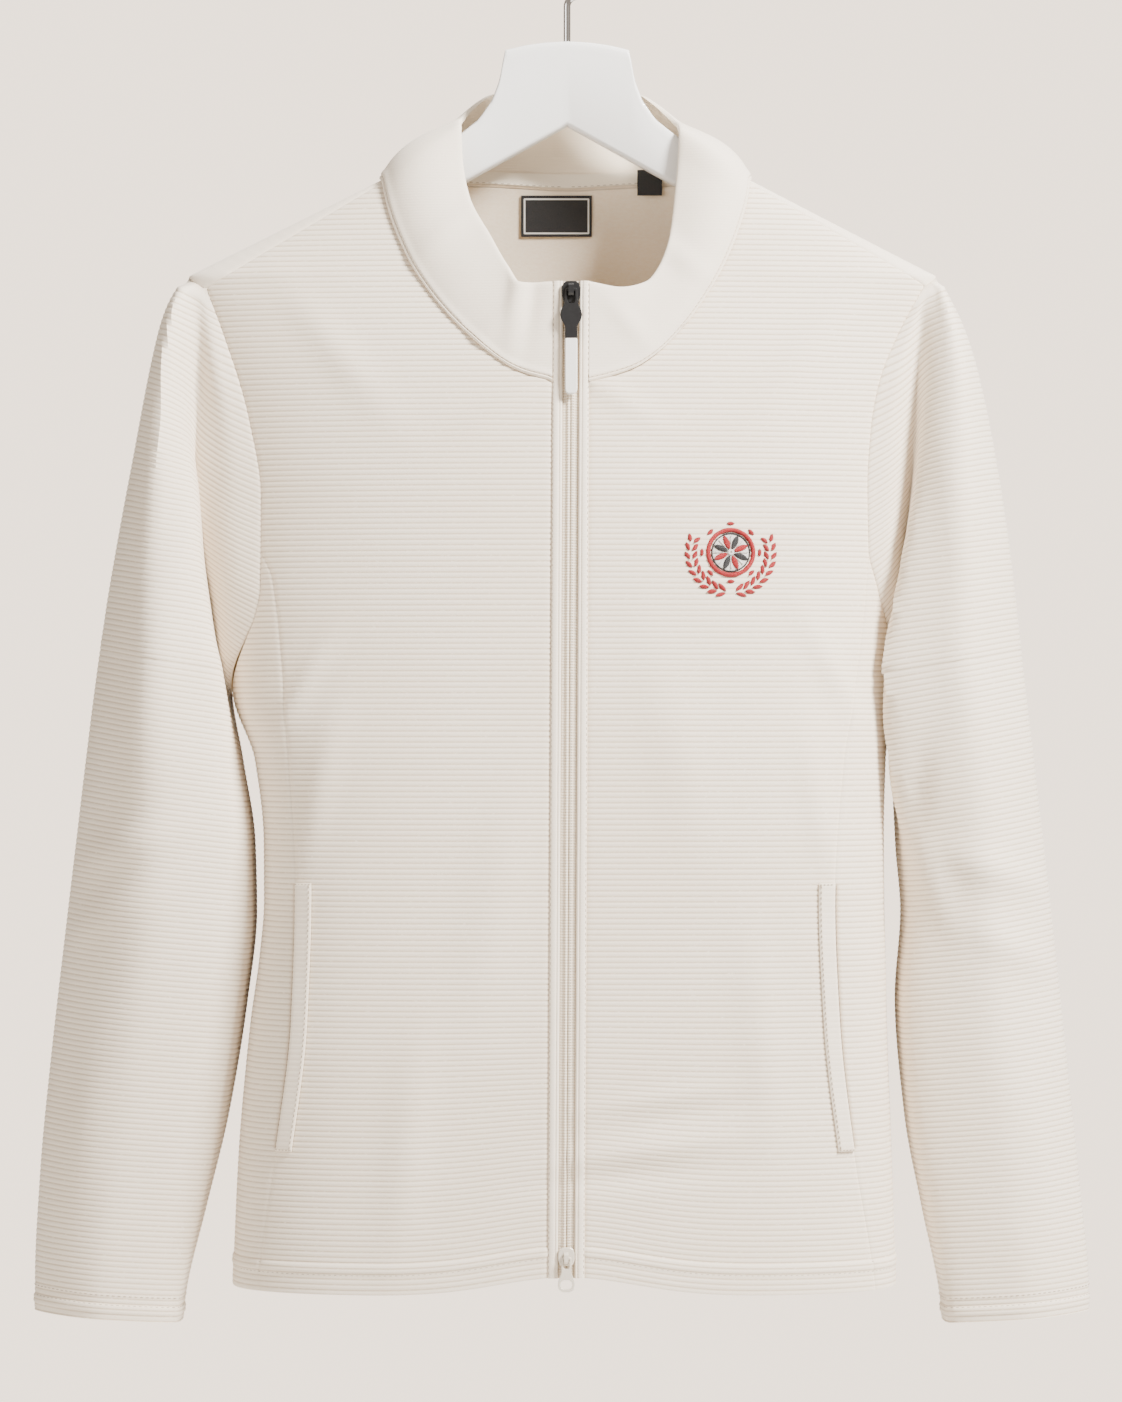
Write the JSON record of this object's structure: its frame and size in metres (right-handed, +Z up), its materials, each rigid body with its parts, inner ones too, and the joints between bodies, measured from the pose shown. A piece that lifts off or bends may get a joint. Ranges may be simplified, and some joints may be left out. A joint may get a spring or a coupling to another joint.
{
  "type": "golf jacket on a hanger",
  "caption": "Long-sleeved stand-collar zip jacket in ribbed knit, hung open-necked on a shaped wooden hanger with a wire hook.",
  "frame": {"origin": "inner top of the hanger's hook, where a rail carries it", "axes": "+Z up, front of the jacket faces -Y, +X to the right of someone who looks at the front"},
  "size_m": [0.6136, 0.1449, 0.8096],
  "materials": {
    "knit": "matt ribbed double knit",
    "smooth_knit": "matt smooth knit",
    "inner": "brushed",
    "coil": "satin",
    "black_metal": "satin black",
    "pale_plastic": "satin",
    "cream_metal": "satin",
    "black_label": "woven",
    "white_paint": "white satin paint",
    "chrome": "polished"
  },
  "bodies": {
    "jacket": {"front_left": "knit", "front_right": "knit", "side_left": "knit", "side_right": "knit", "back": "knit", "sleeve_left": "knit", "sleeve_right": "knit", "collar": "smooth_knit", "zip_band_left": "smooth_knit", "zip_band_right": "smooth_knit", "pocket_welt_left": "smooth_knit", "pocket_welt_right": "smooth_knit", "neck_tape": "inner", "zip_tape_left": "coil", "zip_tape_right": "coil", "slider_top": "black_metal", "slider_bottom": "cream_metal", "neck_label": "black_label", "size_label": "black_label", "hanger": "white_paint", "hook": "chrome"},
    "top_pull": {"pull_top": "black_metal", "pull_top_end": "pale_plastic"},
    "bottom_pull": {"pull_bottom": "cream_metal"}
  },
  "joints": [
    {"name": "top_pull_hinge", "type": "hinge", "parent": "jacket", "child": "top_pull", "pos_m": [0.00227, -0.0525, -0.2141], "axis": [-1, 0, 0], "range_deg": [0, 165]},
    {"name": "bottom_pull_hinge", "type": "hinge", "parent": "jacket", "child": "bottom_pull", "pos_m": [-0.00048, -0.07703, -0.76159], "axis": [-1, 0, 0], "range_deg": [0, 165]}
  ]
}
